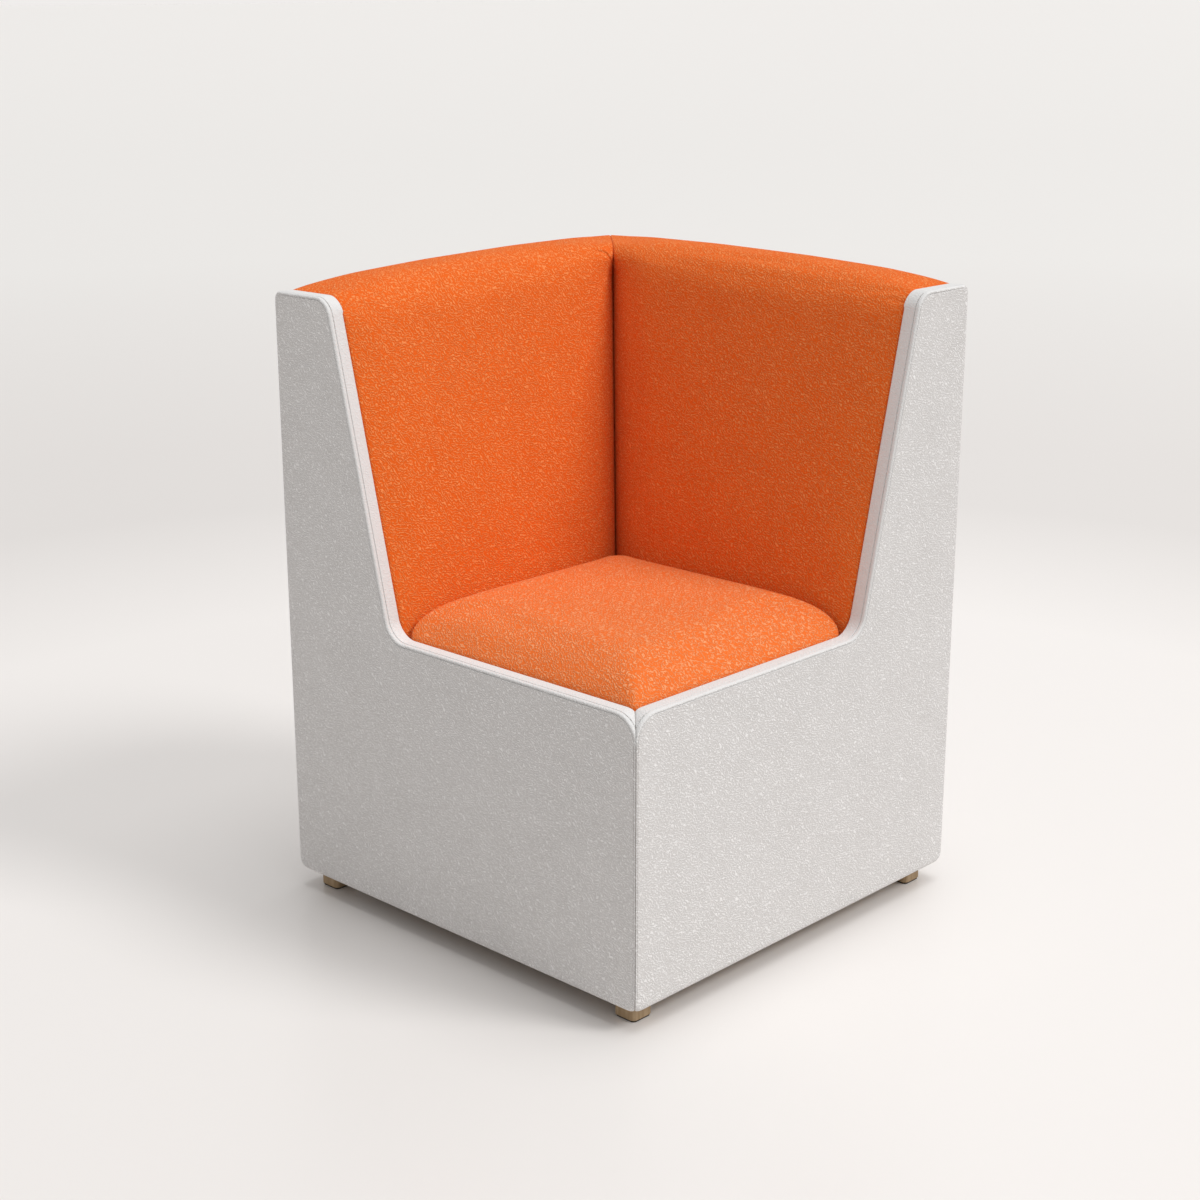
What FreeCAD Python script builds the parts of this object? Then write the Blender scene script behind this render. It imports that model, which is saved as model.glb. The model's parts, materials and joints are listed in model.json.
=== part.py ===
import FreeCAD, Part
import math
import os

from FreeCAD import Vector

os.makedirs("parts", exist_ok=True)

# Corner sofa module: a timber and plywood carcass with two sloped back walls on -X and +Y,
# two L shaped end panels on -Y and +X, and a drop-in seat. Millimetres, +Z up, origin on the
# floor under the centre of the square footprint. The module mirrors itself across the upright
# plane x + y = 0, so one half is drawn and the other half is its mirror image.

# Overall sizes
module_side = 700.0
ground_gap = 28.5
rim_height = 442.0
panel_top = 912.0
panel_top_width = 120.0
panel_foot_width = 231.0
pad_rise = 23.0
seat_well = 94.0

# Upholstery layers
fabric = 2.0
wadding = 6.0
pad_depth = 42.0
lay_gap = 0.15
hem_width = 24.0
hem_clear = 3.0
seam_drop = 10.0

# Boards and timber
panel_board = 16.0
outer_board = 6.0
back_board = 9.0
deck_board = 18.0
seat_board = 12.0
rib_board = 18.0
post_side = 60.0
rail_width = 32.0
rail_height = 60.0
top_rail_height = 45.0
upright_side = 45.0

rib_count = 2

# Radii of the panel outline and of the pads
bottom_radius = 18.0
nose_radius = 38.0
valley_radius = 34.0
shoulder_radius = 30.0
crest_radius = 14.0
edge_round = 4.0
pad_front_radius = 30.0
pad_rear_radius = 16.0

# Back pad form: share of the wall's length, drop of the top, how far the face stands proud
pad_stations = (
    (0.0, 26.5, -3.0),
    (0.05, 19.0, 1.0),
    (0.15, 12.5, 2.0),
    (0.38, 5.0, 2.0),
    (0.65, 0.5, 2.0),
    (0.92, 0.0, 2.0),
    (1.0, 4.0, -5.0),
)
pad_face_bulge = 6.0
pad_top_bulge = 0.5
form_degree = 2

# Drop-in seat
seat_gap = 2.0
seat_pad_gap = 1.5
seat_rest_gap = 0.2
seat_hem = 30.0
seat_corner = 14.0
seat_draw = 4.0
seat_roll_drop = 2.0
crown_height = 44.0
crown_front_reach = 200.0
crown_front_power = 4.0
crown_rear_reach = 30.0
crown_corner = 50.0
crown_levels = (0.08, 0.25, 0.5, 0.75, 0.92, 0.985, 1.0)
breather_radius = 12.0
breather_pitch = 120.0
peg_radius = 6.0
peg_length = 30.0
peg_socket = 10.0
peg_clearance = 0.5
peg_margin = 14.0

# Feet and fastenings
foot_side = 38.0
foot_inset = 24.0
foot_round = 5.0
felt_side = 34.0
felt_thickness = 2.5
foot_screw_radius = 3.0
foot_screw_head = 6.0
foot_screw_sink = 6.0
foot_screw_length = 60.0
screw_radius = 2.0
screw_head = 4.0
screw_head_height = 2.5
screw_length = 40.0
post_screw_low = 90.0
post_screw_high = 45.0
rib_screw_length = 50.0
rib_screw_inset = 40.0
back_screw_length = 32.0
back_screw_inset = 120.0
bore_clearance = 0.1
insert_radius = 6.0
insert_bore = 3.4
insert_length = 18.0
link_spacing = 400.0
dust_thickness = 1.0
dust_lap = 16.0
foot_notch_gap = 2.0

# Places that follow from the sizes above
half = module_side / 2
front_face = -half
board_front = front_face + fabric + wadding
board_back = board_front + panel_board
panel_back = board_back + fabric
wall_inside = -half + fabric + wadding + outer_board
frame_bottom = ground_gap + fabric + lay_gap
underside_hem = foot_inset - foot_notch_gap
deck_top = rim_height - seat_well
deck_bottom = deck_top - deck_board
wall_top = panel_top - hem_width - hem_clear
cover_seam = panel_top - seam_drop
pad_top = panel_top + pad_rise
seat_side_top = rim_height - seat_roll_drop
rib_start = board_back
rib_pitch = (-wall_inside - upright_side - rib_start) / (rib_count + 1)
rib_places = [rib_start + rib_pitch * number for number in range(1, rib_count + 1)]
lean = (panel_foot_width - panel_top_width) / (panel_top - rim_height)
lean_angle = math.atan(lean)
far = 4 * module_side
origin = Vector(0, 0, 0)
up = Vector(0, 0, 1)
mirror_normal = Vector(1, 1, 0)
foot_place = half - foot_inset - foot_side / 2
seat_bottom = deck_top + seat_rest_gap
seat_board_bottom = seat_bottom + fabric
seat_board_top = seat_board_bottom + seat_board
rail_middle = board_back + rail_width / 2


def box(x0, x1, y0, y1, z0, z1):
    return Part.makeBox(x1 - x0, y1 - y0, z1 - z0, Vector(x0, y0, z0))


def mirrored(shape):
    return shape.mirror(origin, mirror_normal)


def near_half(shape, gap=lay_gap / 2):
    """The piece cut off along the mitre plane x + y = 0, less a gap."""
    corners = (Vector(-far, -far, -far), Vector(far - gap, -far, -far), Vector(-far, far - gap, -far))
    triangle = Part.Face(Part.makePolygon(corners + corners[:1]))
    return shape.common(triangle.extrude(Vector(0, 0, 2 * far)))


def face_place(z):
    """Distance of the sloped edge of an end panel from the outer face, at a height."""
    return panel_top_width + (panel_top - z) * lean


def core_place(z):
    """Front of the sloped back board, behind the depth of the pad."""
    return face_place(z) - pad_depth / math.cos(lean_angle)


def rib_place(z):
    """Front edge of the ribs, behind the back board."""
    return core_place(z) - back_board / math.cos(lean_angle)


# Outlines with rounded corners


def rounded_corner(before, point, after, radius):
    """Start, middle and end of the arc that rounds one corner."""
    if radius <= 0:
        return (point,)
    toward = (before - point).normalize()
    onward = (after - point).normalize()
    half_angle = toward.getAngle(onward) / 2
    bisector = (toward + onward).normalize()
    reach = radius / math.tan(half_angle)
    middle = point + bisector * (radius / math.sin(half_angle) - radius)
    return point + toward * reach, middle, point + onward * reach


def closed_wire(corners, place, bulges={}):
    """A wire through corners (u, z, radius), with a bulge on the sides that have one."""
    points = [Vector(u, 0, z) for u, z, radius in corners]
    count = len(points)
    arcs = []
    for i in range(count):
        arcs.append(rounded_corner(points[i - 1], points[i], points[(i + 1) % count], corners[i][2]))
    edges = []
    for i in range(count):
        if len(arcs[i]) == 3:
            edges.append(Part.Arc(*[place(point) for point in arcs[i]]).toShape())
        start = arcs[i][-1]
        end = arcs[(i + 1) % count][0]
        along = end - start
        outward = Vector(along.z, 0, -along.x).normalize()
        middle = (start + end) / 2 + outward * bulges.get(i, 0)
        if i in bulges:
            edges.append(Part.Arc(place(start), place(middle), place(end)).toShape())
        else:
            edges.append(Part.makeLine(place(start), place(end)))
    return Part.Wire(edges)


def inset_outline(corners, distances):
    """The outline with each side moved inwards by its own distance."""
    count = len(corners)
    sides = []
    for i in range(count):
        u0, z0 = corners[i][:2]
        u1, z1 = corners[(i + 1) % count][:2]
        length = math.hypot(u1 - u0, z1 - z0)
        normal_u = -(z1 - z0) / length
        normal_z = (u1 - u0) / length
        sides.append((normal_u, normal_z, normal_u * u0 + normal_z * z0 + distances[i]))
    moved = []
    for i in range(count):
        a0, b0, c0 = sides[i - 1]
        a1, b1, c1 = sides[i]
        turn = a0 * b1 - a1 * b0
        u = (c0 * b1 - c1 * b0) / turn
        z = (a0 * c1 - a1 * c0) / turn
        radius = corners[i][2]
        radius -= math.copysign(distances[i], turn)
        if distances[i - 1] != distances[i]:
            radius = 0
        moved.append((u, z, max(radius, 0)))
    return moved


def upright_prism(corners, y0, y1, offset=-half):
    """An outline of (distance from the outer face, height) drawn along Y."""
    wire = closed_wire(corners, lambda point: Vector(point.x + offset, y0, point.z))
    return Part.Face(wire).extrude(Vector(0, y1 - y0, 0))


# L shaped outline of an end panel: bottom, mitre end, rim, slope, top and outer side in turn
panel_corners = (
    (0.0, ground_gap, bottom_radius),
    (module_side, ground_gap, bottom_radius),
    (module_side, rim_height, nose_radius),
    (panel_foot_width, rim_height, valley_radius),
    (panel_top_width, panel_top, shoulder_radius),
    (0.0, panel_top, crest_radius),
)


def panel_prism(inset, y0, y1):
    return upright_prism(inset_outline(panel_corners, [inset] * len(panel_corners)), y0, y1)


def rounded_front(prism, y, radius):
    edges = [edge for edge in prism.Edges if all(abs(v.Y - y) < 1e-6 for v in edge.Vertexes)]
    return prism.makeFillet(radius, edges)


# Fastenings


def screw(head, direction, length, clearance=0.0):
    """A countersunk wood screw with its head flush at a point."""
    radius = screw_radius + clearance
    cone = Part.makeCone(screw_head + clearance, radius, screw_head_height, head, direction)
    shank = Part.makeCylinder(radius, length + clearance, head, direction)
    return cone.fuse(shank).removeSplitter()


def panel_screw_places():
    """Heads of the screws that hold the front board to its posts and rails."""
    left_post = wall_inside + post_side / 2
    near_post = -board_back - post_side / 2
    levels = (frame_bottom + post_screw_low, deck_bottom - post_screw_high)
    places = [(x, z) for x in (left_post, near_post) for z in levels]
    places.append((0.0, frame_bottom + rail_height / 2))
    places.append((0.0, deck_bottom - rail_height / 2))
    return [Vector(x, board_front, z) for x, z in places]


def rib_screw_places():
    """Heads of the screws that come up through the deck into the left ribs."""
    outer = wall_inside + rail_width + 3 * screw_head
    inner = -half + rib_place(deck_top) - rib_screw_inset
    return [Vector(x, y, deck_bottom) for y in rib_places for x in (outer, inner)]


def back_screw_places():
    """Heads of the screws that hold the left back board to its ribs."""
    levels = (deck_top + back_screw_inset, wall_top - back_screw_inset)
    return [Vector(-half + core_place(z), y, z) for y in rib_places for z in levels]


def deck_screw_places():
    """Heads of the screws that hold the deck to the four posts."""
    return [Vector(x, y, deck_top) for x, y in post_middles()]


def post_middles():
    outer = wall_inside + post_side / 2
    inner = board_back + post_side / 2
    return [(outer, inner), (-inner, inner), (outer, -outer), (-inner, -outer)]


def foot_middles():
    return [(x, y) for x in (-foot_place, foot_place) for y in (-foot_place, foot_place)]


into_front = Vector(0, 1, 0)
into_back = Vector(-math.cos(lean_angle), 0, -math.sin(lean_angle))


def screws(places, direction, length, clearance=0.0):
    return [screw(place, direction, length, clearance) for place in places]


def foot_screw(x, y, clearance=0.0):
    """A wood screw up through a foot into its post, with its head sunk in the foot."""
    start = felt_thickness + foot_screw_sink / 2 - clearance
    place = Vector(x, y, start)
    head = Part.makeCylinder(foot_screw_head + clearance, foot_screw_sink / 2 + clearance, place)
    shank = Part.makeCylinder(foot_screw_radius + clearance, foot_screw_length + 2 * clearance, place)
    return head.fuse(shank).removeSplitter()


def link_middles():
    """Threaded link inserts under the front rail, then those under the right rail."""
    front = [(side * link_spacing / 2, rail_middle) for side in (-1, 1)]
    return front + [(-y, -x) for x, y in front]


panel_bores = screws(panel_screw_places(), into_front, screw_length, bore_clearance)
panel_bores += [mirrored(bore) for bore in panel_bores]
rib_bores = screws(rib_screw_places(), up, rib_screw_length, bore_clearance)
rib_bores += [mirrored(bore) for bore in rib_bores]
back_bores = screws(back_screw_places(), into_back, back_screw_length, bore_clearance)
deck_bores = screws(deck_screw_places(), -up, screw_length, bore_clearance)
foot_bores = [foot_screw(x, y, bore_clearance) for x, y in foot_middles()]


def drilled(shape, bores):
    for bore in bores:
        if shape.BoundBox.intersect(bore.BoundBox):
            shape = shape.cut(bore)
    return shape


# Carcass


def post(x, y):
    side = post_side / 2
    block = box(x - side, x + side, y - side, y + side, frame_bottom, deck_bottom)
    return drilled(block, panel_bores + deck_bores + foot_bores)


def insert_bores():
    radius = insert_radius + bore_clearance
    length = insert_length + bore_clearance
    return [Part.makeCylinder(radius, length, Vector(x, y, frame_bottom)) for x, y in link_middles()]


def front_rail(z):
    near_end = -board_back - post_side
    rail = box(wall_inside + post_side, near_end, board_back, board_back + rail_width, z, z + rail_height)
    return drilled(rail, panel_bores + insert_bores())


def left_rail(z):
    start = board_back + post_side
    end = -wall_inside - post_side
    return box(wall_inside, wall_inside + rail_width, start, end, z, z + rail_height)


def grid(pitch):
    """Three by three places round the middle of the seat."""
    middle = seat_middle(seat_bottom)
    steps = (-pitch, 0.0, pitch)
    return [(middle + a, -middle + b) for a in steps for b in steps]


def breathers(z0, z1):
    return [Part.makeCylinder(breather_radius, z1 - z0, Vector(x, y, z0)) for x, y in grid(breather_pitch)]


def peg_places():
    middle = seat_middle(seat_bottom)
    reach = seat_half(seat_bottom) - seat_draw - seat_hem - peg_radius - peg_margin
    return [(middle + a, -middle + b) for a in (-reach, reach) for b in (-reach, reach)]


def pegs(z0, z1, clearance=0.0):
    return [Part.makeCylinder(peg_radius + clearance, z1 - z0, Vector(x, y, z0)) for x, y in peg_places()]


def deck():
    board = box(wall_inside, -board_back, board_back, -wall_inside, deck_bottom, deck_top)
    holes = breathers(deck_bottom, deck_top) + pegs(deck_bottom, deck_top, peg_clearance)
    return drilled(board, holes + rib_bores + deck_bores)


def front_board():
    board = panel_prism(fabric + lay_gap, board_front, board_back)
    return near_half(drilled(board, panel_bores))


def outer_panel():
    x0 = wall_inside - outer_board
    return near_half(box(x0, wall_inside, panel_back, far, frame_bottom, cover_seam - fabric))


def rib(middle):
    top = wall_top - top_rail_height
    outer = wall_inside + half
    corners = (
        (outer, deck_top, 0),
        (rib_place(deck_top), deck_top, 0),
        (rib_place(top), top, 0),
        (outer, top, 0),
    )
    plate = upright_prism(corners, middle - rib_board / 2, middle + rib_board / 2)
    return drilled(plate, rib_bores + back_bores)


def top_rail():
    low = wall_top - top_rail_height
    outer = wall_inside + half
    corners = (
        (outer, low, 0),
        (rib_place(low), low, 0),
        (rib_place(wall_top), wall_top, 0),
        (outer, wall_top, 0),
    )
    return near_half(upright_prism(corners, board_back, far))


def corner_upright():
    x0 = wall_inside
    y1 = -wall_inside
    return box(x0, x0 + upright_side, y1 - upright_side, y1, deck_top, wall_top - top_rail_height)


def sloped_board():
    corners = (
        (rib_place(deck_top), deck_top, 0),
        (core_place(deck_top), deck_top, 0),
        (core_place(wall_top), wall_top, 0),
        (rib_place(wall_top), wall_top, 0),
    )
    board = upright_prism(corners, board_back, far)
    return near_half(drilled(board, back_bores))


# Grey upholstery


def panel_wadding():
    return near_half(panel_prism(edge_round, front_face + fabric, board_front))


def panel_cover():
    """Fabric over an end panel: its face, the boxing round the edge and the hem behind."""
    outer = rounded_front(panel_prism(0, front_face, panel_back), front_face, edge_round)
    pocket = panel_prism(fabric, front_face + fabric, board_back)
    pocket = rounded_front(pocket, front_face + fabric, edge_round - fabric)
    open_side = -module_side
    hem_sides = [open_side, open_side, hem_width, hem_width, hem_width, open_side]
    opening = upright_prism(inset_outline(panel_corners, hem_sides), board_back, panel_back + fabric)
    under = box(-far, far, front_face + underside_hem, panel_back, 0, frame_bottom)
    return near_half(outer.cut(pocket).cut(opening).cut(under))


def outer_wadding():
    x0 = -half + fabric
    return near_half(box(x0, x0 + wadding, panel_back, far, frame_bottom, cover_seam - fabric))


def outer_cover():
    """Fabric over the outside of a back wall, turned in at the top and underneath."""
    skin = box(-half, wall_inside, panel_back + lay_gap, far, ground_gap, cover_seam)
    pocket = box(-half + fabric, wall_inside, 0 - far, far, frame_bottom - lay_gap, cover_seam - fabric)
    hem_top = frame_bottom - lay_gap
    hem = box(wall_inside, -half + underside_hem, panel_back + lay_gap, far, ground_gap, hem_top)
    return near_half(skin.cut(pocket).fuse(hem).removeSplitter())


# Orange back pads


def pad_section(share, top, proud, inset):
    """Outline of a pad and the wall behind it, at a share of the wall's length."""
    start = panel_back + lay_gap
    shift = proud - inset / math.cos(lean_angle)
    top_level = top - inset
    corners = (
        (inset, deck_top, 0),
        (face_place(deck_top) + shift, deck_top, 0),
        (face_place(top_level) + shift, top_level, pad_front_radius - inset),
        (inset, top_level, pad_rear_radius - inset),
    )

    def place(point):
        x = point.x - half
        return Vector(x, (1 - share) * start + share * (-x - lay_gap), point.z)

    return closed_wire(corners, place, {1: pad_face_bulge, 2: pad_top_bulge})


def pad_body(inset):
    """A pad's full form, from the end panel to the mitre in the corner of the walls."""
    sections = []
    for share, drop, proud in pad_stations:
        sections.append(pad_section(share, pad_top - drop, proud, inset))
    return Part.makeLoft(sections, True, False, False, form_degree)


def wall_core():
    """The space of the wall's frame, which the foam goes round."""
    outer = wall_inside + half
    corners = (
        (-half, 0, 0),
        (core_place(0), 0, 0),
        (core_place(wall_top), wall_top, 0),
        (outer, wall_top, 0),
        (outer, cover_seam, 0),
        (-half, cover_seam, 0),
    )
    return upright_prism(corners, -far, far)


def back_foam():
    return pad_body(fabric + lay_gap).cut(wall_core())


def back_cover():
    """Fabric over a pad: up the slope, over the top and down to the seam behind."""
    shell = pad_body(0).cut(pad_body(fabric))
    behind = box(-far, wall_inside, -far, far, 0, cover_seam)
    return shell.cut(behind)


# Drop-in seat


def pad_front(z):
    """Distance of a pad's face from the outer face of the wall, where it swells most."""
    share = (z - deck_top) / (pad_top - deck_top)
    swell = 4 * pad_face_bulge * share * (1 - share) / math.cos(lean_angle)
    return face_place(z) + max(proud for station, drop, proud in pad_stations) + swell


def seat_rear(z):
    return -half + pad_front(z) + seat_pad_gap


def seat_front():
    return -panel_back - seat_gap


def seat_middle(z):
    """X of the middle of the seat at a height, which is also minus its Y."""
    return (seat_rear(z) + seat_front()) / 2


def seat_half(z):
    """Half the side of the seat at a height."""
    return (seat_front() - seat_rear(z)) / 2


def seat_section(z, rear_inset, front_inset, radius):
    """Rounded square across the seat, with its two rear sides along the pads."""
    low = seat_rear(z) + rear_inset
    high = seat_front() - front_inset
    corners = (
        (low, -high, radius),
        (high, -high, radius),
        (high, -low, radius),
        (low, -low, radius),
    )
    return closed_wire(corners, lambda point: Vector(point.x, point.z, z))


def seat_body(inset, bottom):
    """The seat's form: drawn-in sides and a crown, long in front and tight along the pads."""
    waist = (bottom + seat_side_top) / 2
    radius = seat_corner - inset
    sides = [
        seat_section(bottom, inset + seat_draw, inset + seat_draw, radius),
        seat_section(waist, inset, inset, radius),
        seat_section(seat_side_top - inset, inset, inset, radius),
    ]
    crown = sides[-1:]
    for level in crown_levels:
        z = rim_height + crown_height * level - inset
        rear = inset + crown_rear_reach * (1 - math.sqrt(1 - level * level))
        front = inset + crown_front_reach * (1 - (1 - level) ** (1 / crown_front_power))
        crown.append(seat_section(z, rear, front, radius + (crown_corner - seat_corner) * level))
    lower = Part.makeLoft(sides, True, True)
    upper = Part.makeLoft(crown, True, False, False, form_degree)
    return lower.fuse(upper).removeSplitter()


def seat_cover():
    shell = seat_body(0, seat_bottom).cut(seat_body(fabric, seat_board_bottom))
    inner = Part.Face(seat_section(seat_bottom, seat_hem, seat_hem, seat_corner))
    return shell.cut(inner.extrude(up * fabric))


def seat_foam():
    below = box(-far, far, -far, far, 0, seat_board_top)
    return seat_body(fabric + lay_gap, seat_board_bottom).cut(below)


def drop_in_board():
    inset = fabric + lay_gap + seat_draw
    section = seat_section(seat_board_bottom, inset, inset, seat_corner)
    board = Part.Face(section).extrude(up * seat_board)
    sockets = pegs(seat_board_bottom, seat_board_bottom + peg_socket, bore_clearance)
    return drilled(board, breathers(seat_board_bottom, seat_board_top) + sockets)


def seat_pegs():
    top = seat_board_bottom + peg_socket
    return Part.makeCompound(pegs(top - peg_length, top))


# Feet, fastenings and underside


def foot(x, y):
    side = foot_side / 2
    block = box(x - side, x + side, y - side, y + side, felt_thickness, frame_bottom)
    uprights = [edge for edge in block.Edges if edge.BoundBox.ZLength > foot_round]
    block = block.makeFillet(foot_round, uprights)
    radius = foot_screw_head + bore_clearance
    recess = Part.makeCylinder(radius, foot_screw_sink, Vector(x, y, felt_thickness))
    return drilled(block, foot_bores + [recess])


def felt_pad(x, y):
    side = felt_side / 2
    pad = box(x - side, x + side, y - side, y + side, 0, felt_thickness)
    uprights = [edge for edge in pad.Edges if edge.BoundBox.ZLength > felt_thickness / 2]
    return pad.makeFillet(foot_round, uprights)


def link_inserts():
    inserts = []
    for x, y in link_middles():
        place = Vector(x, y, frame_bottom)
        sleeve = Part.makeCylinder(insert_radius, insert_length, place)
        inserts.append(sleeve.cut(Part.makeCylinder(insert_bore, insert_length, place)))
    return Part.makeCompound(inserts)


def both_sides(solids):
    return Part.makeCompound(solids + [mirrored(solid) for solid in solids])


def dust_cover():
    """Thin cloth under the carcass, cut round the feet and short of the link inserts."""
    near = rail_middle + insert_radius + 2 * foot_notch_gap
    outer = wall_inside + dust_lap
    sheet = box(outer, -near, near, -outer, frame_bottom - dust_thickness, frame_bottom)
    side = foot_side / 2 + foot_notch_gap
    for x, y in foot_middles():
        sheet = sheet.cut(box(x - side, x + side, y - side, y + side, 0, frame_bottom))
    return sheet


nodes = {}


def add_pair(first, second, shape):
    """A piece of the drawn half and its mirror image, as two nodes."""
    nodes[first] = shape
    nodes[second] = mirrored(shape)


post_names = ("left_front_post", "front_corner_post", "rear_corner_post", "right_rear_post")
for name, (x, y) in zip(post_names, post_middles()):
    nodes[name] = post(x, y)
add_pair("front_base_rail", "right_base_rail", front_rail(frame_bottom))
add_pair("left_base_rail", "rear_base_rail", left_rail(frame_bottom))
add_pair("front_deck_rail", "right_deck_rail", front_rail(deck_bottom - rail_height))
add_pair("left_deck_rail", "rear_deck_rail", left_rail(deck_bottom - rail_height))
nodes["deck"] = deck()
add_pair("front_panel_board", "right_panel_board", front_board())
add_pair("left_outer_panel", "rear_outer_panel", outer_panel())
for number, place in enumerate(rib_places, 1):
    add_pair("left_rib_%d" % number, "rear_rib_%d" % number, rib(place))
nodes["corner_upright"] = corner_upright()
add_pair("left_top_rail", "rear_top_rail", top_rail())
add_pair("left_back_board", "rear_back_board", sloped_board())

add_pair("front_panel_wadding", "right_panel_wadding", panel_wadding())
add_pair("front_panel_cover", "right_panel_cover", panel_cover())
add_pair("left_outer_wadding", "rear_outer_wadding", outer_wadding())
add_pair("left_outer_cover", "rear_outer_cover", outer_cover())
add_pair("left_back_foam", "rear_back_foam", back_foam())
add_pair("left_back_cover", "rear_back_cover", back_cover())

nodes["seat_board"] = drop_in_board()
nodes["seat_foam"] = seat_foam()
nodes["seat_cover"] = seat_cover()
nodes["seat_pegs"] = seat_pegs()

foot_names = ("left_front", "left_rear", "right_front", "right_rear")
for name, (x, y) in zip(foot_names, foot_middles()):
    nodes[name + "_foot"] = foot(x, y)
    nodes[name + "_felt"] = felt_pad(x, y)
nodes["foot_screws"] = Part.makeCompound([foot_screw(x, y) for x, y in foot_middles()])
nodes["panel_screws"] = both_sides(screws(panel_screw_places(), into_front, screw_length))
nodes["rib_screws"] = both_sides(screws(rib_screw_places(), up, rib_screw_length))
nodes["back_screws"] = both_sides(screws(back_screw_places(), into_back, back_screw_length))
nodes["deck_screws"] = Part.makeCompound(screws(deck_screw_places(), -up, screw_length))
nodes["link_inserts"] = link_inserts()
nodes["dust_cover"] = dust_cover()

for name, shape in nodes.items():
    solids = shape.Solids
    volume = sum(solid.Volume for solid in solids) / 1000
    print("%-22s solids %2d  volume %9.1f cm3  valid %s" % (name, len(solids), volume, shape.isValid()))
    shape.exportStep("parts/" + name + ".step")
print("nodes", len(nodes))
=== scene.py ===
import json
import math

import bmesh
import bpy
import numpy as np
from mathutils import Matrix, Vector


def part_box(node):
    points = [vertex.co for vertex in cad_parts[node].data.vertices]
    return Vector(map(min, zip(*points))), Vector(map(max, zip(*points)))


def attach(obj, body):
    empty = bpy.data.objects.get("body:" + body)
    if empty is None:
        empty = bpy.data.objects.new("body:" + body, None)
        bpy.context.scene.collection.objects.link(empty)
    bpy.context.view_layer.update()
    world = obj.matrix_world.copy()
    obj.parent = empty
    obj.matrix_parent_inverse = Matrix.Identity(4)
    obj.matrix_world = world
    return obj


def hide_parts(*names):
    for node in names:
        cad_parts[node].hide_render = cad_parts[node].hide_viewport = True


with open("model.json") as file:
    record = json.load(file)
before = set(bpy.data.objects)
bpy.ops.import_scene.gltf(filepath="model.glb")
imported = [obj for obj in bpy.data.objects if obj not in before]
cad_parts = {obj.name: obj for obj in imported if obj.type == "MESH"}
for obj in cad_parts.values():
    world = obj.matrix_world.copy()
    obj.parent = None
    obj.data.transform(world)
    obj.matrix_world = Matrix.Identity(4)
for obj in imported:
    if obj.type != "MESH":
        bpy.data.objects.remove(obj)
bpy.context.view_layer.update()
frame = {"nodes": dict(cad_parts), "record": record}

# Sizes in metres. Places come from the frame, forms from the photograph.
mm = 0.001
tiny = 0.05 * mm
panel_low, panel_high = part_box("front_panel_cover")
half = -panel_low.x
base = panel_low.z
post_top = panel_high.z
face_plane = panel_low.y
inner_plane = panel_high.y
rim = 442 * mm
top_width = 120 * mm
foot_width = 231 * mm
lean = (foot_width - top_width) / (post_top - rim)
lean_turn = math.atan(1 / lean)

# Across the upright plane on which the two panels, the two walls and the two pads meet
diagonal = (1, 1, 0)

# Outline radii of the end panels
nose_radius = 38 * mm
valley_radius = 34 * mm
shoulder_radius = 30 * mm
crest_radius = 14 * mm
bottom_radius = 18 * mm

# Edges and seams of the grey covers
wrap_round = 10 * mm
seam_round = 3.2 * mm
inner_round = 3 * mm
turn_round = 2.2 * mm
hem = 24 * mm
cloth_thickness = 1.6 * mm
groove_half = 0.9 * mm
groove_depth = 1.8 * mm
stitch_line = 6.5 * mm
mitre_strip = 3 * mm
seam_end = 1.2 * crest_radius - half
face_rings = [r * mm for r in (0.3, 0.9, 1.9, 3.2, 4.1, 5.0, 5.9, 6.8, 8.2, 10.0, 11.0)]
stitch_pitch = 7.5 * mm
stitch_length = 5.4 * mm
stitch_wide = 0.9 * mm
stitch_thick = 0.7 * mm
stitch_sunk = 0.75 * groove_depth
stitch_beside = half - seam_round - groove_half
stitch_low = base + bottom_radius + 4 * mm

# How far the grey covers of the outside walls turn over the top, under the bottom and in at the front
wall_turn_over = 8 * mm
wall_turn_under = 22 * mm
wall_turn_in = 3 * mm
wall_seam_reach = 9 * mm

# Back pads
deck_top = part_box("left_back_cover")[0].z
pad_top = 935 * mm
pad_depth = 43 * mm
pad_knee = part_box("left_top_rail")[1].z + 0.6 * mm
wall_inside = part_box("left_top_rail")[0].x
cover_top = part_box("left_outer_cover")[1].z
pad_room = 0.4 * mm
pad_start = inner_plane + pad_room
pad_outside = pad_room - half
hook_bottom = cover_top + 0.5 * mm
pad_front_radius = 30 * mm
pad_rear_radius = 16 * mm
pad_bulge = 6 * mm
crease_round = 46 * mm
crease_depth = 30 * mm
crease_lines = [r * mm for r in (1, 3, 6, 10, 15, 21, 28, 36, 46)]
end_lines = [r * mm for r in (2, 5.5)]
mitre_round = 2.4 * mm
end_round = 5 * mm
end_held = 9 * mm
pad_apart = 0.1 * mm
pad_pressure = 3.0
pad_swell = 4 * mm

# Where a pad's form fades in or out: heights for its drop, its proud face, its closing crease and its
# swelling, distances across for its front, and depths behind its face
drop_zone = (780 * mm, 905 * mm)
proud_zone = (880 * mm, 930 * mm)
close_zone = (890 * mm, 925 * mm)
swell_zone = (480 * mm, 580 * mm)
front_zone = (25 * mm - half, 70 * mm - half)
skin_zone = (2 * mm, 20 * mm)
slope_top = 912 * mm

# Fold in the cloth at the top of the crease
tuck_start = 901 * mm
tuck_rise = 27 * mm
tuck_bend = 10 * mm
tuck_length = 60 * mm
tuck_height = 1.3 * mm
tuck_wide = 3.5 * mm

# Share of the wall's length, drop of the pad's top and how far its face stands proud
pad_stations = np.array([
    (0.00, 24.5, -1.0),
    (0.05, 18.5, 1.0),
    (0.15, 12.5, 2.0),
    (0.38, 5.0, 2.0),
    (0.65, 0.5, 2.0),
    (0.92, 0.0, 2.0),
    (1.00, 1.5, 1.0),
])

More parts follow.
